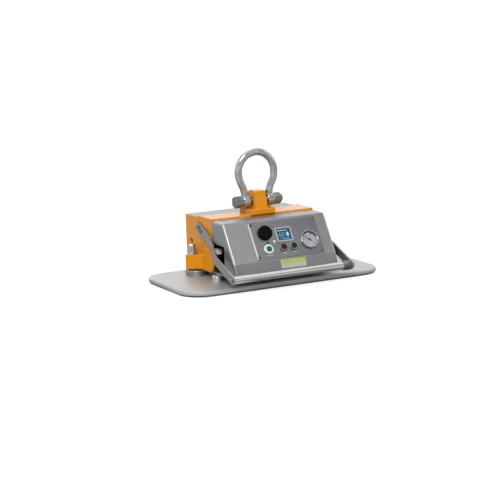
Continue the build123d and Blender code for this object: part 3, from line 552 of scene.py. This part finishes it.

# ---- push buttons ------------------------------------------------------------------------
# Three sprung push buttons: glossy moulded caps in moulded collars, screwed through the front.
# The power button has a pale collar, and a small faintly glowing disc in its middle is a painted
# glint on its cap.
BUTTON_COLOURS = {
    "power": ((0.56, 0.66, 0.58), (0.80, 0.88, 0.82), (0.006, 0.085, 0.042), (0.014, 0.13, 0.065)),
    "release": ((0.15, 0.075, 0.085), (0.27, 0.16, 0.175), (0.020, 0.001, 0.002), (0.034, 0.001, 0.004)),
    "lift": ((0.05, 0.14, 0.09), (0.15, 0.27, 0.19), (0.001, 0.010, 0.004), (0.002, 0.024, 0.009)),
}
GLINT_R, GLINT_TOP_R, GLINT_THICK, GLINT_LIFT = 3.4 * MM, 2.7 * MM, 0.8 * MM, 6.7 * MM
for button, (ring_dark, ring_light, cap_dark, cap_light) in BUTTON_COLOURS.items():
    ring = moulded(f"{button.title()} collar", ring_dark, ring_light, rough=0.20, bump=0.0, coat=0.5,
                   dusty=0.05)
    cap = moulded(f"{button.title()} cap", cap_dark, cap_light, rough=0.34, bump=0.02, coat=0.25,
                  dusty=0.03, gloss=0.15)
    dress(ring, f"{button}_collar")
    dress(cap, f"{button}_cap")
# the glowing disc on the power cap is a painted glint
glint_disc = bmesh.new()
bmesh.ops.create_cone(glint_disc, cap_ends=True, segments=32, radius1=GLINT_R, radius2=GLINT_TOP_R,
                      depth=GLINT_THICK, matrix=on_front(middle("power_cap"), GLINT_LIFT))
add_object("power_cap_glint", glint_disc, glowing("Painted cap glint", (0.62, 0.85, 0.72), 0.25), "power_button")

# ---- gauge -------------------------------------------------------------------------------
# Dial gauge with a polished rim on a dark case: an enamelled dial printed with ticks and figures,
# a black pointer and a clear pane held by the rim.  A broad black arc over the top of the dial is
# painted shade from the deep rim.
DIAL_OUT, PRINT_THICK = 0.3 * MM, 0.1 * MM
SCALE_R = 24.5 * MM
SWEEP_START, SWEEP_END = radians(225), radians(-45)
TICKS = 50
LONG_TICK, MIDDLE_TICK, SHORT_TICK = 4.4 * MM, 3.2 * MM, 1.9 * MM
BOLD_TICK, FINE_TICK = 0.7 * MM, 0.4 * MM
SHADE_ARC_TILES, SHADE_ARC_START, SHADE_ARC_SWEEP = 44, radians(196), radians(176)
SHADE_ARC_R, SHADE_ARC_DEEP, SHADE_ARC_LONG = SCALE_R + 1.2 * MM, 4.2 * MM, 2.1 * MM
FIGURES, FIGURE_STEP, FIGURE_R, FIGURE_SIZE, FIGURE_LIFT = 6, 20, 16.6 * MM, 4.6 * MM, 0.05 * MM
gauge_metal = bare_metal("Gauge metal", (0.40, 0.40, 0.42), (0.52, 0.52, 0.54), rough=0.24,
                         stretch=(60, 60, 60), edge_reach=1.0 * MM, bump=0.03, dusty=0.05, scratched=0.15,
                         rough_spread=0.06)
dress(gauge_metal, "gauge_rim")
case_metal = bare_metal("Gauge case", (0.12, 0.12, 0.125), (0.18, 0.18, 0.185), rough=0.45,
                        stretch=(60, 60, 60), bump=0.03, dusty=0.05)
dress(case_metal, "gauge_case")
dial_enamel = moulded("Dial enamel", (0.37, 0.37, 0.42), (0.46, 0.46, 0.51), rough=0.45, bump=0.02, dusty=0.0)
dress(dial_enamel, "gauge_dial")
dial_black = moulded("Dial black", (0.010, 0.010, 0.011), (0.018, 0.018, 0.020), rough=0.5, bump=0.0, dusty=0.0)
dress(dial_black, "gauge_needle")

dial_face = middle("gauge_dial") + outward * DIAL_OUT
dial_print_and_shade = bmesh.new()


def dial_tile(angle, radius, length, wide):
    """Lay one black tile that points at the dial's middle; the ticks and the painted shade arc are made of these.
    """
    turn = Matrix.Rotation(angle, 4, "Z") @ Matrix.Translation((radius, 0, 0))
    flat_tile(dial_print_and_shade, length, wide, PRINT_THICK, on_front(dial_face) @ turn)


for mark in range(TICKS + 1):
    length = LONG_TICK if mark % 10 == 0 else MIDDLE_TICK if mark % 5 == 0 else SHORT_TICK
    dial_tile(SWEEP_START + (SWEEP_END - SWEEP_START) * mark / TICKS, SCALE_R - length / 2, length,
              BOLD_TICK if mark % 10 == 0 else FINE_TICK)
# broad black arc over the top of the dial: painted shade from the deep rim
for step in range(SHADE_ARC_TILES):
    dial_tile(SHADE_ARC_START - SHADE_ARC_SWEEP * step / (SHADE_ARC_TILES - 1), SHADE_ARC_R, SHADE_ARC_DEEP, SHADE_ARC_LONG)
for count in range(FIGURES):
    angle = SWEEP_START + (SWEEP_END - SWEEP_START) * count / (FIGURES - 1)
    figures(dial_print_and_shade, str(count * FIGURE_STEP), FIGURE_SIZE,
            on_front(dial_face, FIGURE_LIFT, FIGURE_R * cos(angle), FIGURE_R * sin(angle)))
add_object("gauge_print_and_shade", dial_print_and_shade, dial_black, "frame")

pane, tree, shader, place = new_material("Gauge pane")
film = effect(tree, dust, {"Place": place, "Scale": 80.0})
fill(tree, shader, {"Base Color": mixed(tree, film, (0.30, 0.32, 0.34), (0.50, 0.48, 0.44)),
                    "Roughness": scaled(tree, film, 0.1, 0.5), "Alpha": 0.06, "Coat Weight": 1.0})
dress(pane, "gauge_glass")

# ---- blank plate on the lip --------------------------------------------------------------
# Printed film plate glued to the hood's lip: a yellow band over a white field, both left bare,
# under a clear lacquer.
WHITE_SHARE = 0.46
BAND_BLUR = 0.2 * MM
plate_low, plate_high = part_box("label_plate")
split = plate_low.z + WHITE_SHARE * (plate_high.z - plate_low.z)
label_film, tree, shader, place = new_material("Label film")
upper = stretch_to(tree, axis_of(tree, place, "Z"), split - BAND_BLUR, split + BAND_BLUR)
soft = effect(tree, clouding, {"Place": place, "Scale": 40.0})
yellow = mixed(tree, soft, (0.40, 0.43, 0.10), (0.50, 0.53, 0.15))
white = mixed(tree, soft, (0.42, 0.42, 0.41), (0.52, 0.52, 0.50))
fill(tree, shader, {"Base Color": mixed(tree, upper, white, yellow),
                    "Roughness": scaled(tree, soft, 0.15, 0.5), "Coat Weight": 0.4})
dress(label_film, "label_plate")

# ---- folding handle ----------------------------------------------------------------------
# Two joggled steel straps, bolted to the side plates, and a thick polished tube between their
# ends, with a ribbed collar at one end.
arm_steel = bare_metal("Strap steel", (0.31, 0.305, 0.29), (0.43, 0.425, 0.41), rough=0.33,
                       stretch=(240, 40, 40), edge_reach=1.3 * MM, dusty=0.25)
dress(arm_steel, "handle_arm_left", "handle_arm_right")
grip_steel = bare_metal("Polished tube", (0.60, 0.60, 0.595), (0.76, 0.76, 0.75), rough=0.17,
                        stretch=(12, 900, 900), bump=0.06, dusty=0.1, scratched=0.3, rough_spread=0.10)
dress(grip_steel, "handle_grip")
grip_end = bare_metal("Dark collar", (0.10, 0.10, 0.105), (0.22, 0.22, 0.225), rough=0.34,
                      stretch=(900, 60, 60))
dress(grip_end, "handle_collar")

# ---- handle end plates and painted socket shade ------------------------------------------
# A thin cut-away plate doubles the upper end of each handle arm and stays clear of the stop
# peg below it.  A black disc on the middle of each pivot and index bolt head is painted shade for a
# socket recess.
END_PLATE = ((80.5, 191.8), (89.9, 185.2), (89.6, 170.0), (82.2, 155.7), (52.8, 135.4), (35.4, 138.2),
             (17.9, 138.8), (-16.9, 146.7), (-10.6, 151.8), (15.2, 167.9), (62.2, 182.8))
END_PLATE_BACK, END_PLATE_THICK, END_PLATE_EDGE = 195.8 * MM, 1.7 * MM, 0.4 * MM
SHADE_DISC_SPOTS = ((203, 70, 175), (201, 54, 161.5))
SHADE_DISC_R, SHADE_DISC_THICK = 3.4 * MM, 0.6 * MM
# black discs on the bolt heads: painted shade standing in for socket recesses
socket_shade_black = moulded("Painted socket shade", (0.012, 0.012, 0.013), (0.02, 0.02, 0.021), rough=0.6)
crosswise = Matrix.Rotation(radians(90), 4, "Y")
for side, sign in (("left", -1), ("right", 1)):
    doubler = bmesh.new()
    outline = [doubler.verts.new((sign * END_PLATE_BACK, y * MM, z * MM)) for y, z in END_PLATE]
    raised = bmesh.ops.extrude_face_region(doubler, geom=[doubler.faces.new(outline)])["geom"]
    bmesh.ops.translate(doubler, vec=(sign * END_PLATE_THICK, 0, 0),
                        verts=[v for v in raised if isinstance(v, bmesh.types.BMVert)])
    bmesh.ops.recalc_face_normals(doubler, faces=doubler.faces)
    bmesh.ops.bevel(doubler, geom=doubler.edges[:], offset=END_PLATE_EDGE, segments=2, profile=0.5,
                    affect="EDGES", material=-1)
    add_object(f"arm_end_plate_{side}", doubler, arm_steel, "handle")
    sockets = bmesh.new()
    for x, y, z in SHADE_DISC_SPOTS:
        spot = Matrix.Translation((sign * x * MM, y * MM, z * MM)) @ crosswise
        bmesh.ops.create_cone(sockets, cap_ends=True, segments=24, radius1=SHADE_DISC_R, radius2=SHADE_DISC_R,
                              depth=SHADE_DISC_THICK, matrix=spot)
    add_object(f"bolt_socket_shade_{side}", sockets, socket_shade_black, "handle")

# ---- bow shackle -------------------------------------------------------------------------
# Drop-forged and hot-dip galvanised: soft spangles, slight lumps of zinc, and bright rubbed
# places where a hook has borne on the bow.  The bolt, nut and cotter are darker plain steel.
SPANGLE_SHARE = 0.45
galvanised, tree, shader, place = new_material("Galvanised forging")
spangle = node(tree, "TexVoronoi", {"Vector": place, "Scale": 320.0, "Randomness": 1.0}).outputs["Color"]
spangle = node(tree, "SeparateColor", {0: spangle}).outputs[0]
soft = effect(tree, clouding, {"Place": place, "Scale": 26.0})
worn = effect(tree, wear, {"Place": place, "Reach": 1.2 * MM})
scratch = effect(tree, scratches, {"Place": place, "Density": 0.4})
shade = value_of(tree, "ADD", scaled(tree, spangle, SPANGLE_SHARE), scaled(tree, soft, 1 - SPANGLE_SHARE))
zinc = mixed(tree, shade, (0.34, 0.345, 0.345), (0.52, 0.525, 0.525))
zinc = mixed(tree, value_of(tree, "MAXIMUM", worn, scratch), zinc, (0.82, 0.83, 0.84))
lumps = node(tree, "TexNoise", {"Vector": place, "Scale": 110.0, "Detail": 4.0}).outputs["Fac"]
lumpy = node(tree, "Bump", {"Strength": 0.22, "Distance": 0.8 * MM, "Height": lumps}).outputs[0]
fill(tree, shader, {"Base Color": zinc, "Roughness": scaled(tree, spangle, 0.12, 0.11), "Normal": lumpy,
                    "Metallic": 1.0})
dress(galvanised, "shackle_bow")
pin_steel = bare_metal("Shackle pin steel", (0.16, 0.155, 0.15), (0.30, 0.295, 0.285), rough=0.30,
                       stretch=(300, 300, 300), dusty=0.1)
dress(pin_steel, "shackle_pin", "shackle_nut", "cotter_pin")

# ---- inside the housing ------------------------------------------------------------------
# Battery, pump with its motor, reservoir, valve block, hoses and controller board, bolted or
# strapped to the floor tray and seen only through the side windows and louvres.
dress(moulded("Battery case", (0.012, 0.012, 0.013), (0.022, 0.022, 0.024), rough=0.5), "battery")
dress(painted("Strap coat", (0.035, 0.035, 0.037), (0.025, 0.025, 0.026), chip=(0.3, 0.3, 0.3)), "battery_strap")
dress(moulded("Saddle nylon", (0.016, 0.016, 0.017), (0.03, 0.03, 0.03), rough=0.5), "reservoir_saddles")
dress(bare_metal("Cast alloy", (0.34, 0.34, 0.35), (0.48, 0.48, 0.49), rough=0.45, stretch=(300, 300, 300)),
      "vacuum_pump", "valve_block")
dress(painted("Motor coat", (0.012, 0.012, 0.014), (0.008, 0.008, 0.009), chip=(0.2, 0.2, 0.2)), "pump_motor")
dress(painted("Cradle coat", (0.10, 0.105, 0.11), (0.07, 0.075, 0.08), chip=(0.4, 0.4, 0.4)), "pump_cradle")
dress(painted("Tank coat", (0.80, 0.79, 0.76), (0.72, 0.71, 0.68), chip=(0.5, 0.48, 0.45)), "reservoir")
dress(moulded("Hose rubber", (0.010, 0.016, 0.055), (0.018, 0.026, 0.08), rough=0.4), "hoses")
dress(moulded("Circuit board", (0.004, 0.035, 0.014), (0.010, 0.06, 0.026), rough=0.35, coat=0.3), "control_board")

# ---- fuse box ----------------------------------------------------------------------------
# A small white moulded box just behind the left window, on a thin dark post that stands in
# the floor tray.
BOX_LOW, BOX_HIGH = Vector((-0.178, -0.032, 0.094)), Vector((-0.163, -0.004, 0.111))
BOX_EDGE = 1.5 * MM
POST_R, POST_SUNK, POST_IN_BOX = 3.5 * MM, 3 * MM, 1 * MM
box_middle, box_size = (BOX_LOW + BOX_HIGH) / 2, BOX_HIGH - BOX_LOW
fuse_box = bmesh.new()
bmesh.ops.create_cube(fuse_box, size=1.0, matrix=Matrix.Translation(box_middle) @ Matrix.Diagonal((*box_size, 1)))
bmesh.ops.bevel(fuse_box, geom=fuse_box.edges[:], offset=BOX_EDGE, segments=3, profile=0.5, affect="EDGES",
                material=-1)
box_plastic = moulded("Fuse box plastic", (0.86, 0.84, 0.80), (0.94, 0.92, 0.88), rough=0.35)
add_object("fuse_box", fuse_box, box_plastic, "frame")
post_foot, post_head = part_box("base_tray")[0].z + POST_SUNK, BOX_LOW.z + POST_IN_BOX
post = bmesh.new()
bmesh.ops.create_cone(post, cap_ends=True, segments=20, radius1=POST_R, radius2=POST_R,
                      depth=post_head - post_foot,
                      matrix=Matrix.Translation((box_middle.x, box_middle.y, (post_head + post_foot) / 2)))
post_coat = painted("Post coat", (0.03, 0.03, 0.032), (0.02, 0.02, 0.021), chip=(0.3, 0.3, 0.3))
add_object("fuse_box_post", post, post_coat, "frame")

# ---- floor -------------------------------------------------------------------------------
# Plain pale floor just under the seal.  Reflections see it darker near the object and pale
# again farther off and towards the front left.
FLOOR_HALF, FLOOR_DROP = 60.0, 0.2 * MM
FLOOR_GREY, FLOOR_MIRRORED, FLOOR_WHITE = (0.55, 0.55, 0.55), (0.25, 0.25, 0.25), 0.52
FAR_GLOW, FAR_FROM, FAR_TO = 0.62, 0.30, 0.55
LEFT_GLOW, LEFT_FROM, LEFT_TO = 1.2, 0.82, 0.97
FRONT_LEFT = (-0.88, -0.47, 0.0)
floor_mesh = bmesh.new()
bmesh.ops.create_grid(floor_mesh, x_segments=1, y_segments=1, size=FLOOR_HALF,
                      matrix=Matrix.Translation((0, 0, cad_box[0].z - FLOOR_DROP)))
floor_data = bpy.data.meshes.new("floor")
floor_mesh.to_mesh(floor_data)
floor_mesh.free()
floor = bpy.data.objects.new("floor", floor_data)
bpy.context.scene.collection.objects.link(floor)
floor_finish, tree, shader, place = new_material("Pale floor")
seen = node(tree, "LightPath", {}).outputs
mirrored = value_of(tree, "MAXIMUM", seen["Is Glossy Ray"], seen["Is Transmission Ray"])
away = node(tree, "VectorMath", {0: place}, operation="LENGTH").outputs["Value"]
bearing = node(tree, "VectorMath", {0: place}, operation="NORMALIZE").outputs["Vector"]
bearing = node(tree, "VectorMath", {0: bearing, 1: FRONT_LEFT}, operation="DOT_PRODUCT").outputs["Value"]
far_glow = scaled(tree, stretch_to(tree, away, FAR_FROM, FAR_TO), FAR_GLOW)
left_glow = scaled(tree, stretch_to(tree, bearing, LEFT_FROM, LEFT_TO), LEFT_GLOW)
glow = value_of(tree, "MULTIPLY", mirrored, value_of(tree, "MAXIMUM", far_glow, left_glow))
shown = value_of(tree, "MAXIMUM", seen["Is Camera Ray"], glow)
fill(tree, shader, {"Base Color": mixed(tree, mirrored, FLOOR_GREY, FLOOR_MIRRORED),
                    "Roughness": 0.8, "Specular IOR Level": 0.0, "Emission Color": (1, 1, 1, 1),
                    "Emission Strength": scaled(tree, shown, FLOOR_WHITE)})
floor.data.materials.append(floor_finish)

# ---- surround ----------------------------------------------------------------------------
# White to the camera and pale to the lighting, brighter overhead.  Reflections also see a
# broad grey card in front, faded at its lower, upper and side edges.
SKY_LOW, SKY_HIGH, SKY_TOP = 0.34, 0.66, 0.8
CARD_SHADE = 0.62
CARD_TOWARD = (0.30, -0.95, 0.0)
world = bpy.data.worlds.new("Surround")
bpy.context.scene.world = world
world.use_nodes = True
sky = world.node_tree


def faded(value, clear, full):
    """A soft edge of the card: 0 at clear, 1 at full."""
    return node(sky, "MapRange", {"Value": value, "From Min": clear, "From Max": full},
                interpolation_type="SMOOTHSTEP").outputs["Result"]


seen = node(sky, "LightPath", {}).outputs
toward = node(sky, "TexCoord", {}).outputs["Generated"]
height = axis_of(sky, toward, "Z")
in_front = node(sky, "VectorMath", {0: toward, 1: CARD_TOWARD}, operation="DOT_PRODUCT").outputs["Value"]
card = value_of(sky, "MULTIPLY", faded(height, 0.12, 0.34), faded(height, 0.86, 0.68))
card = value_of(sky, "MULTIPLY", card, faded(in_front, -0.15, 0.30))
graded = scaled(sky, card, -CARD_SHADE, 1.0)
soft = node(sky, "MapRange", {"Value": height, "From Min": 0.0, "From Max": SKY_TOP, "To Min": SKY_LOW,
                              "To Max": SKY_HIGH}).outputs["Result"]
mirrored = value_of(sky, "MAXIMUM", seen["Is Glossy Ray"], seen["Is Transmission Ray"])
strength = node(sky, "Mix", {0: mirrored, 2: soft, 3: graded}).outputs[0]
strength = node(sky, "Mix", {0: seen["Is Camera Ray"], 2: strength, 3: 1.0}).outputs[0]
fill(sky, sky.nodes["Background"], {"Color": (1, 1, 1, 1), "Strength": strength})

# ---- lamps -------------------------------------------------------------------------------
# Three soft suns: the key from the front left, one from the right and one from behind.  A
# small round softbox stands in front, to the right.
SUNS = (("key", (0.50, 0.58, -0.78), 1.7, 24), ("side", (-1.0, 0.10, -0.5), 0.45, 40),
        ("back", (-0.2, -1.0, -0.9), 0.5, 35))


def hang(name, lamp, aim):
    """Put a lamp in the scene, shining along a direction."""
    holder = bpy.data.objects.new(name, lamp)
    holder.rotation_euler = Vector(aim).to_track_quat("-Z", "Y").to_euler()
    bpy.context.scene.collection.objects.link(holder)
    return holder


for name, aim, power, spread in SUNS:
    lamp = bpy.data.lights.new(name, "SUN")
    lamp.energy = power
    lamp.angle = radians(spread)
    hang(name, lamp, aim)
softbox = bpy.data.lights.new("softbox", "AREA")
softbox.shape = "DISK"
softbox.size = 0.45
softbox.energy = 0.30
holder = hang("softbox", softbox, (-0.44, 0.554, -0.707))
holder.location = (0.29, -0.77, 0.80)
holder.visible_camera = False

# ---- camera ------------------------------------------------------------------------------
# A long lens at the front left, well back and above the object.  It looks slightly down and is
# rolled by two degrees.
lens = bpy.data.cameras.new("camera")
lens.lens = 118.4
lens.sensor_width = 36.0
lens.clip_end = 200.0
camera = bpy.data.objects.new("camera", lens)
camera.location = (-2.4673, -4.7809, 1.0704)
camera.rotation_euler = (radians(79.62), radians(2.03), radians(-27.245))
bpy.context.scene.collection.objects.link(camera)
bpy.context.scene.camera = camera
bpy.context.scene.view_settings.view_transform = "Standard"
